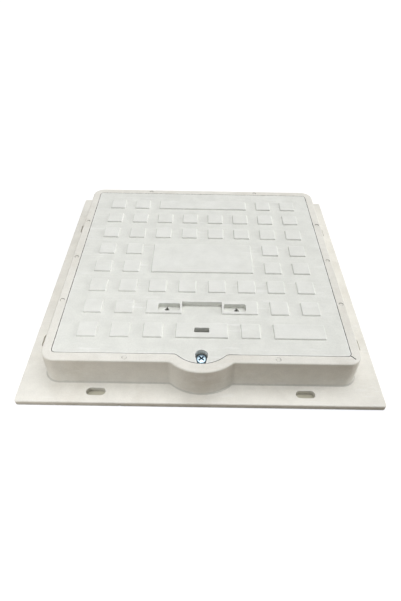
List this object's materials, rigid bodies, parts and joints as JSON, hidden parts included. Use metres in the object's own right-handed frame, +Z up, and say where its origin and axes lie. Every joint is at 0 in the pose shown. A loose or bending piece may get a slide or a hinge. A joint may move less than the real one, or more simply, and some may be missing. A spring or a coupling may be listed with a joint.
{
  "type": "composite access cover",
  "caption": "Square composite access cover: flanged frame with fixing slots, lid with raised tread blocks and finger recess, locked by a screw at its nose.",
  "frame": {"origin": "middle of the flange's underside", "axes": "+Z up through the lid, nose with the lock screw towards -Y"},
  "size_m": [0.55, 0.55, 0.0625],
  "materials": {
    "frame_composite": "moulded, matt",
    "lid_composite": "moulded, matt",
    "zinc_steel": "blue zinc plate",
    "insert_brass": "turned"
  },
  "bodies": {
    "root": {"frame": "frame_composite", "lid": "lid_composite", "lock_screw": "zinc_steel", "threaded_insert": "insert_brass"}
  },
  "joints": []
}
